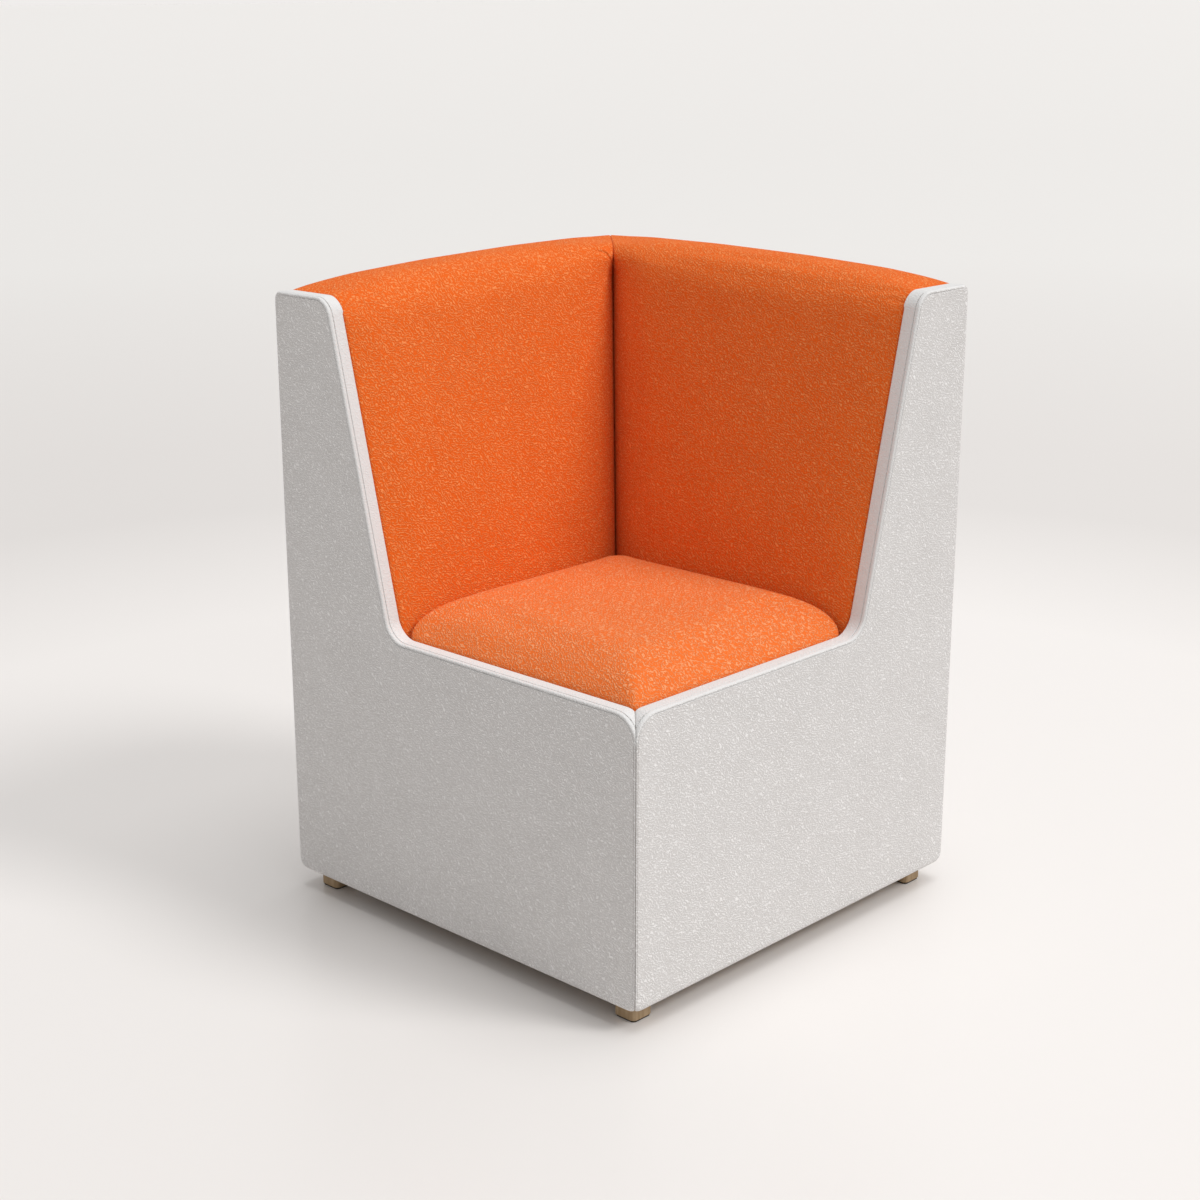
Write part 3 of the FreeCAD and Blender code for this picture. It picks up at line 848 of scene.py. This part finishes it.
def add(tree, kind, feeds=None, out=0, **settings):
    """Add a shader node. Feeds give its sockets a value or another node's output. Returns one output."""
    made = tree.nodes.new("ShaderNode" + kind)
    for key, value in settings.items():
        setattr(made, key, value)
    for key, value in (feeds or {}).items():
        if isinstance(value, bpy.types.NodeSocket):
            tree.links.new(value, made.inputs[key])
        else:
            made.inputs[key].default_value = value
    return made.outputs[out]


def begin_finish(name, rough, specular):
    """A new material with its shader's plain values, and the object's own coordinates."""
    material = bpy.data.materials.new(name)
    material.use_nodes = True
    tree = material.node_tree
    shader = tree.nodes["Principled BSDF"]
    shader.inputs["Roughness"].default_value = rough
    shader.inputs["Specular IOR Level"].default_value = specular
    place = add(tree, "TexCoord", out="Object")
    return material, tree, shader, place


# A wave texture of scale 1 repeats after this many metres
wave_unit = math.pi / 10


def wool_felt(name, mid, pale, deep, curl_share, sheen, relief):
    """Milled wool cloth: crimped fibres lie every way, so the matt face is full of short curls."""
    material, tree, shader, place = begin_finish(name, 0.95, 0.12)
    # Curls are about 3 mm apart and 1.2 mm wide, coarser than wool fibre so that they show in the render
    turned = add(tree, "Mapping", {
        "Vector": place, "Location": (0.37, 0.19, 0.53), "Rotation": (0.9, 0.4, 1.7)})
    curls = []
    for where in (place, turned):
        waves = add(tree, "TexWave", {
            "Vector": where, "Scale": wave_unit / (3.0 * mm), "Distortion": 8.0, "Detail": 1.0,
            "Detail Scale": 1.7}, out="Fac", bands_direction="DIAGONAL")
        curls.append(add(tree, "MapRange", {"Value": waves, "From Min": 0.45, "From Max": 0.95}))
    patches = add(tree, "TexNoise", {"Vector": turned, "Scale": 1 / (13 * mm), "Detail": 1.0})
    which = add(tree, "MapRange", {"Value": patches, "From Min": 0.45, "From Max": 0.55})
    gaps = add(tree, "TexNoise", {"Vector": turned, "Scale": 1 / (3.5 * mm), "Detail": 0.0})
    broken = add(tree, "MapRange", {"Value": gaps, "From Min": 0.28, "From Max": 0.48})
    fibres = add(tree, "Mix", {0: which, 2: curls[0], 3: curls[1]})
    fibres = add(tree, "Math", {0: fibres, 1: broken}, operation="MULTIPLY")
    # Fibre ends of about 1.5 mm, and slightly uneven dyeing over a hand's width
    ends = add(tree, "TexNoise", {"Vector": place, "Scale": 1 / (1.5 * mm), "Detail": 2.0})
    clouds = add(tree, "TexNoise", {"Vector": place, "Scale": 1 / (60 * mm), "Detail": 3.0})
    cloud_share = add(tree, "MapRange", {
        "Value": clouds, "From Min": 0.3, "From Max": 0.7, "To Min": 0.0, "To Max": 0.12})
    end_share = add(tree, "MapRange", {
        "Value": ends, "From Min": 0.35, "From Max": 0.65, "To Min": 0.24, "To Max": 0.0})
    lit_share = add(tree, "Math", {0: fibres, 1: curl_share}, operation="MULTIPLY")
    colour = add(tree, "Mix", {0: cloud_share, 6: linear(mid), 7: linear(deep)}, out=2, data_type="RGBA")
    colour = add(tree, "Mix", {0: end_share, 6: colour, 7: linear(deep)}, out=2, data_type="RGBA")
    colour = add(tree, "Mix", {0: lit_share, 6: colour, 7: linear(pale)}, out=2, data_type="RGBA")
    tree.links.new(colour, shader.inputs["Base Color"])
    raised_ends = add(tree, "Math", {0: ends, 1: 0.35}, operation="MULTIPLY")
    raised = add(tree, "Math", {0: fibres, 1: raised_ends}, operation="ADD")
    bump = add(tree, "Bump", {"Height": raised, "Strength": relief, "Distance": 1.0 * mm})
    tree.links.new(bump, shader.inputs["Normal"])
    shader.inputs["Sheen Weight"].default_value = sheen
    shader.inputs["Sheen Roughness"].default_value = 0.45
    shader.inputs["Sheen Tint"].default_value = linear(pale)
    return material


def sewing_thread(name, code, deep):
    """Spun polyester thread, two plies twisted, so each stitch shows a slanting fine twist."""
    material, tree, shader, place = begin_finish(name, 0.6, 0.3)
    # Twist of 0.8 mm
    twist = add(tree, "TexNoise", {"Vector": place, "Scale": 1 / (0.8 * mm), "Detail": 1.0})
    colour = add(tree, "Mix", {0: twist, 6: linear(code), 7: linear(deep)}, out=2, data_type="RGBA")
    tree.links.new(colour, shader.inputs["Base Color"])
    bump = add(tree, "Bump", {"Height": twist, "Strength": 0.3, "Distance": 0.2 * mm})
    tree.links.new(bump, shader.inputs["Normal"])
    return material


def timber(name, pale, deep, along, band, rough):
    """Planed wood: growth bands drawn out along the grain, fine dark pores and a soft satin."""
    material, tree, shader, place = begin_finish(name, rough, 0.35)
    stretch = [1 / (18 * band) if way else 1 / band for way in along]
    run = add(tree, "Mapping", {"Vector": place, "Scale": stretch})
    bands = add(tree, "TexNoise", {"Vector": run, "Scale": 1.0, "Detail": 3.0, "Distortion": 0.6})
    pores = add(tree, "TexNoise", {"Vector": run, "Scale": 7.0, "Detail": 2.0})
    share = add(tree, "MapRange", {"Value": bands, "From Min": 0.32, "From Max": 0.68})
    colour = add(tree, "Mix", {0: share, 6: linear(pale), 7: linear(deep)}, out=2, data_type="RGBA")
    dark = add(tree, "MapRange", {"Value": pores, "From Min": 0.55, "From Max": 0.75, "To Max": 0.4})
    colour = add(tree, "Mix", {0: dark, 6: colour, 7: linear(deep)}, out=2, data_type="RGBA")
    tree.links.new(colour, shader.inputs["Base Color"])
    bump = add(tree, "Bump", {"Height": pores, "Strength": 0.2, "Distance": 0.3 * mm})
    tree.links.new(bump, shader.inputs["Normal"])
    return material


def birch_plywood(name, thickness_way, along):
    """Sanded birch plywood: a pale figured face, and edges striped by 1.4 mm veneers laid crosswise."""
    material, tree, shader, place = begin_finish(name, 0.6, 0.3)
    stretch = [1 / (160 * mm) if way else 1 / (9 * mm) for way in along]
    run = add(tree, "Mapping", {"Vector": place, "Scale": stretch})
    figure = add(tree, "TexNoise", {"Vector": run, "Scale": 1.0, "Detail": 4.0, "Distortion": 0.8})
    depth = add(tree, "VectorMath", {0: place, 1: thickness_way}, out="Value", operation="DOT_PRODUCT")
    depth = add(tree, "Math", {0: depth, 1: 1 / (2.8 * mm)}, operation="MULTIPLY")
    ply = add(tree, "Math", {0: depth}, operation="FRACT")
    ply = add(tree, "MapRange", {"Value": ply, "From Min": 0.44, "From Max": 0.56, "To Max": 0.55})
    share = add(tree, "MapRange", {"Value": figure, "From Min": 0.3, "From Max": 0.7, "To Max": 0.7})
    colour = add(tree, "Mix", {0: share, 6: linear("#DCC097"), 7: linear("#C6A373")}, out=2,
                 data_type="RGBA")
    colour = add(tree, "Mix", {0: ply, 6: colour, 7: linear("#A57E52")}, out=2, data_type="RGBA")
    tree.links.new(colour, shader.inputs["Base Color"])
    bump = add(tree, "Bump", {"Height": figure, "Strength": 0.15, "Distance": 0.3 * mm})
    tree.links.new(bump, shader.inputs["Normal"])
    return material


def pressed_fibre(name, pale, deep, size, rough):
    """Fibres pressed or bonded flat with no weave: a dull speckle and a slightly fuzzy face."""
    material, tree, shader, place = begin_finish(name, rough, 0.2)
    specks = add(tree, "TexNoise", {"Vector": place, "Scale": 1 / size, "Detail": 3.0})
    share = add(tree, "MapRange", {"Value": specks, "From Min": 0.35, "From Max": 0.65})
    colour = add(tree, "Mix", {0: share, 6: linear(deep), 7: linear(pale)}, out=2, data_type="RGBA")
    tree.links.new(colour, shader.inputs["Base Color"])
    bump = add(tree, "Bump", {"Height": specks, "Strength": 0.4, "Distance": 0.4 * mm})
    tree.links.new(bump, shader.inputs["Normal"])
    return material


def open_foam(name):
    """Cut polyurethane foam: a cream face full of open cells of about 1 mm."""
    material, tree, shader, place = begin_finish(name, 0.9, 0.2)
    cells = add(tree, "TexVoronoi", {"Vector": place, "Scale": 1 / (1.2 * mm)})
    share = add(tree, "MapRange", {"Value": cells, "From Min": 0.1, "From Max": 0.6})
    colour = add(tree, "Mix", {0: share, 6: linear("#B9AD88"), 7: linear("#E9E2C8")}, out=2,
                 data_type="RGBA")
    tree.links.new(colour, shader.inputs["Base Color"])
    bump = add(tree, "Bump", {"Height": cells, "Strength": 0.5, "Distance": 0.5 * mm})
    tree.links.new(bump, shader.inputs["Normal"])
    return material


def bare_metal(name, pale, deep, rough):
    """Plated or turned metal: a soft mirror, broken by cloudy plating and fine tool marks."""
    material, tree, shader, place = begin_finish(name, rough, 0.5)
    shader.inputs["Metallic"].default_value = 1
    marks = add(tree, "TexNoise", {"Vector": place, "Scale": 1 / (2 * mm), "Detail": 3.0})
    colour = add(tree, "Mix", {0: marks, 6: linear(pale), 7: linear(deep)}, out=2, data_type="RGBA")
    tree.links.new(colour, shader.inputs["Base Color"])
    uneven = add(tree, "MapRange", {"Value": marks, "To Min": rough - 0.08, "To Max": rough + 0.12})
    tree.links.new(uneven, shader.inputs["Roughness"])
    return material


# Metres from the middle that the floor's colours run over, and their places as shares of that
floor_reach = 10.0
floor_stops = (
    (0.0, "#ECE8E5"),
    (0.16, "#ECE8E5"),
    # From about 2 m out the colours are darker: painted shade standing in for the shaded foot of a
    # backdrop
    (0.26, "#D9D5D2"),
    (0.34, "#D9D5D2"),
    (0.80, "#E2E0DD"),
)


def painted_floor(name):
    """Seamless studio floor of satin warm white paint. Painted shade darkens it in a band further off,
    standing in for the shaded foot of a backdrop, and a little towards -x -y, where the light falls off.
    """
    material, tree, shader, place = begin_finish(name, 0.34, 0.40)
    far = add(tree, "VectorMath", {0: place}, out="Value", operation="LENGTH")
    share = add(tree, "MapRange", {"Value": far, "From Min": 0.0, "From Max": floor_reach})
    tint = add(tree, "ValToRGB", {0: share})
    ramp = tint.node.color_ramp.elements
    while len(ramp) < len(floor_stops):
        ramp.new(0.5)
    for element, (at, code) in zip(ramp, floor_stops):
        element.position = at
        element.color = linear(code)
    # The light falls off towards the left of the picture
    way = add(tree, "VectorMath", {0: place}, operation="NORMALIZE")
    side = add(tree, "VectorMath", {0: way, 1: (0.71, 0.71, 0)}, out="Value", operation="DOT_PRODUCT")
    lit = add(tree, "MapRange", {
        "Value": side, "From Min": -0.45, "From Max": 0.45, "To Min": 0.95, "To Max": 1.02})
    scaled = add(tree, "VectorMath", {0: tint, "Scale": lit}, operation="SCALE")
    tree.links.new(scaled, shader.inputs["Base Color"])
    return material


grey = wool_felt("grey_wool_felt", "#DBD8D6", "#FBF9F8", "#AFAAA6", 0.78, 0.15, 0.6)
# A lighter copy of the grey felt with fainter curls for the boxing strips: painted light standing in for
# their lit, upward faces
painted_lit_grey = wool_felt("pale_grey_wool_felt", "#E4E3E2", "#F2F1F0", "#D9D7D5", 0.20, 0.15, 0.4)
orange = wool_felt("orange_wool_felt", "#F06B22", "#FFA868", "#C2420A", 0.62, 0.18, 0.75)
# A lighter, paler copy of the pads' orange felt for the seat: painted light standing in for its top, lit
# from above
painted_lit_seat_orange = wool_felt("orange_wool_felt_painted_lit_seat", "#F37731", "#FFBA88", "#D6520E", 0.64, 0.40, 0.75)
grey_thread = sewing_thread("grey_polyester_thread", "#CFCDCA", "#A9A6A2")
oak = timber("lacquered_oak", "#B39A7A", "#9A7F5E", (0, 0, 1), 5 * mm, 0.5)
foam = open_foam("cut_polyurethane_foam")
dust_black = pressed_fibre("spunbond_dust_cloth", "#2E2D2C", "#161616", 1.6 * mm, 0.85)
foot_felt = pressed_fibre("pressed_wool_felt", "#4A4640", "#2B2825", 1.2 * mm, 0.95)
zinc = bare_metal("zinc_plated_steel", "#C9CACB", "#A7A8A8", 0.34)
turned_brass = bare_metal("turned_brass", "#D9B566", "#B98F3F", 0.30)
pine = {
    "x": timber("planed_pine_along_x", "#DDB985", "#C39556", (1, 0, 0), 7 * mm, 0.55),
    "y": timber("planed_pine_along_y", "#DDB985", "#C39556", (0, 1, 0), 7 * mm, 0.55),
    "z": timber("planed_pine_upright", "#DDB985", "#C39556", (0, 0, 1), 7 * mm, 0.55),
}
tilt_in = math.cos(math.atan(lean))
tilt_up = math.sin(math.atan(lean))
plywood = {
    "level": birch_plywood("birch_plywood_level", (0, 0, 1), (1, 0, 0)),
    "x": birch_plywood("birch_plywood_facing_x", (1, 0, 0), (0, 0, 1)),
    "y": birch_plywood("birch_plywood_facing_y", (0, 1, 0), (0, 0, 1)),
    "left": birch_plywood("birch_plywood_left_slope", (tilt_in, 0, tilt_up), (0, 1, 0)),
    "rear": birch_plywood("birch_plywood_rear_slope", (0, -tilt_in, tilt_up), (1, 0, 0)),
}


def board_finish(name):
    """Plywood laid the way that a board stands."""
    if name in ("deck", "seat_board"):
        return plywood["level"]
    if name.endswith("_back_board"):
        return plywood[name.split("_")[0]]
    faces_x = name in ("right_panel_board", "left_outer_panel") or name.startswith("rear_rib")
    return plywood["x" if faces_x else "y"]


def rail_finish(name):
    """Pine with its grain along the rail or post."""
    if "post" in name or "upright" in name:
        return pine["z"]
    return pine["x" if name.startswith(("front", "rear")) else "y"]


plain_finishes = {
    "oak": oak,
    "felt": foot_felt,
    "foam": foam,
    "wadding": foam,
    "dust_cloth": dust_black,
    "zinc_steel": zinc,
    "brass": turned_brass,
    "grey_fabric": grey,
    "orange_fabric": orange,
}
for subpart in frame["record"]["subparts"]:
    node_name = subpart["node"]
    slot_name = subpart["material_slot"]
    if slot_name == "plywood":
        node_finish = board_finish(node_name)
    elif slot_name == "pine":
        node_finish = rail_finish(node_name)
    else:
        node_finish = plain_finishes[slot_name]
    for holder in frame["nodes"][node_name].material_slots:
        holder.material = node_finish

front_cover = make_panel_cover()
right_cover = mirrored(front_cover, "right_panel_cover")
fit(front_cover, "carcass", "grey_fabric", grey, "front_panel_cover", "front_panel_wadding")
fit(right_cover, "carcass", "grey_fabric", grey, "right_panel_cover", "right_panel_wadding")
# Boxing faces take the lighter copy of the grey felt: painted light on the rim's top and slopes
for face, twin in zip(front_cover.data.polygons, right_cover.data.polygons):
    at = face.center
    boxing = at.y > face_plane + 0.5 * mm and at.z > rim - nose_radius and at.x > seam_end
    face.material_index = twin.material_index = int(boxing)
for cover in (front_cover, right_cover):
    cover.data.materials.append(painted_lit_grey)
outer_cover = make_outer_cover()
rear_cover = mirrored(outer_cover, "rear_outer_cover")
fit(outer_cover, "carcass", "grey_fabric", grey, "left_outer_cover", "left_outer_wadding")
fit(rear_cover, "carcass", "grey_fabric", grey, "rear_outer_cover", "rear_outer_wadding")
left_pad = make_back_pad()
rear_pad = mirrored(left_pad, "rear_back_pad")
tuck_cloth(left_pad)
fit(left_pad, "carcass", "orange_fabric", orange, "left_back_cover", "left_back_foam")
fit(rear_pad, "carcass", "orange_fabric", orange, "rear_back_cover", "rear_back_foam")
seat_cushion = make_seat()
# The seat takes the lighter copy of the orange felt, painted light for its lit top
fit(seat_cushion, "seat", "orange_fabric", painted_lit_seat_orange, "seat_cover", "seat_foam")
seat_cushion.data.materials.append(foam)
for face in seat_cushion.data.polygons:
    if face.normal.z < -0.9 and abs(face.center.z - pocket_top) < 0.2 * mm:
        face.material_index = 1
panel_stitches = make_panel_stitches()
fit(panel_stitches, "carcass", "grey_fabric", grey_thread)
fit(mirrored(panel_stitches, "right_panel_stitches"), "carcass", "grey_fabric", grey_thread)
corner_stitches = make_corner_stitches()
fit(corner_stitches, "carcass", "grey_fabric", grey_thread)
fit(mirrored(corner_stitches, "rear_corner_stitches"), "carcass", "grey_fabric", grey_thread)
first_foot = make_foot("left_front_foot")
feet = {"left_front_foot": first_foot}
for foot_name in ("left_rear_foot", "right_front_foot", "right_rear_foot"):
    move = Matrix.Translation(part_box(foot_name)[0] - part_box("left_front_foot")[0])
    feet[foot_name] = copied(first_foot, foot_name + "_block", move)
for foot_name, foot in feet.items():
    fit(foot, "carcass", "oak", oak, foot_name)
dust_cloth = make_dust_cloth()
fit(dust_cloth, "carcass", "dust_cloth", dust_black, "dust_cover")

# Camera and light
camera_data = bpy.data.cameras.new("camera")
camera_data.lens = 61.6
camera_data.sensor_width = 36
camera_data.shift_x = 0.05
camera = bpy.data.objects.new("camera", camera_data)
bpy.context.scene.collection.objects.link(camera)
around = math.radians(45.14)
above = math.radians(16.35)
roll = math.radians(-0.58)
back = Vector((math.sin(around), -math.cos(around), 0)) * math.cos(above)
back.z = math.sin(above)
right = back.cross(Vector((0, 0, -1))).normalized()
up = back.cross(right)
turned_right = right * math.cos(roll) + up * math.sin(roll)
turned_up = up * math.cos(roll) - right * math.sin(roll)
aim = Vector((-0.08792, -0.08138, 0.45046))
camera_distance = 3.04101
place = aim + back * camera_distance
camera.matrix_world = Matrix((
    (turned_right.x, turned_up.x, back.x, place.x),
    (turned_right.y, turned_up.y, back.y, place.y),
    (turned_right.z, turned_up.z, back.z, place.z),
    (0, 0, 0, 1),
))
bpy.context.scene.camera = camera

world = bpy.data.worlds.new("studio")
bpy.context.scene.world = world
world.use_nodes = True
sky = world.node_tree
# The camera and reflections see the sky in the colour of the far floor. A plain grey one gives the light.
sky_light = (0.47, 0.47, 0.47, 1)
paths = add(sky, "LightPath").node.outputs
direct = add(sky, "Math", {0: paths["Is Camera Ray"], 1: paths["Is Glossy Ray"]}, operation="MAXIMUM")
direct = add(sky, "Math", {0: direct, 1: paths["Is Transmission Ray"]}, operation="MAXIMUM")
seen = add(sky, "Mix", {0: direct, 6: sky_light, 7: linear("#F0EDEB")}, out=2, data_type="RGBA")
sky.links.new(seen, sky.nodes["Background"].inputs["Color"])

# Two soft suns, each with its strength, the width of its disc in degrees and the way to it
key_rise = math.radians(42)
key_way = (0.899 * math.cos(key_rise), 0.438 * math.cos(key_rise), math.sin(key_rise))
suns = (
    ("key", 1.22, 20, key_way),
    ("overhead", 1.15, 40, (0.1, 0.12, 0.99)),
)
for sun_name, strength, disc, way in suns:
    sun_data = bpy.data.lights.new(sun_name, "SUN")
    sun_data.energy = strength
    sun_data.angle = math.radians(disc)
    sun = bpy.data.objects.new(sun_name, sun_data)
    bpy.context.scene.collection.objects.link(sun)
    sun.rotation_euler = Vector(way).to_track_quat("Z", "Y").to_euler()

floor_side = 6000
floor = flat_start("floor", floor_side, floor_side, (0, 0, 0), (0, 0, 0))
floor.data.materials.append(painted_floor("satin_studio_floor"))

bpy.context.scene.view_settings.view_transform = "Standard"
start_clean()
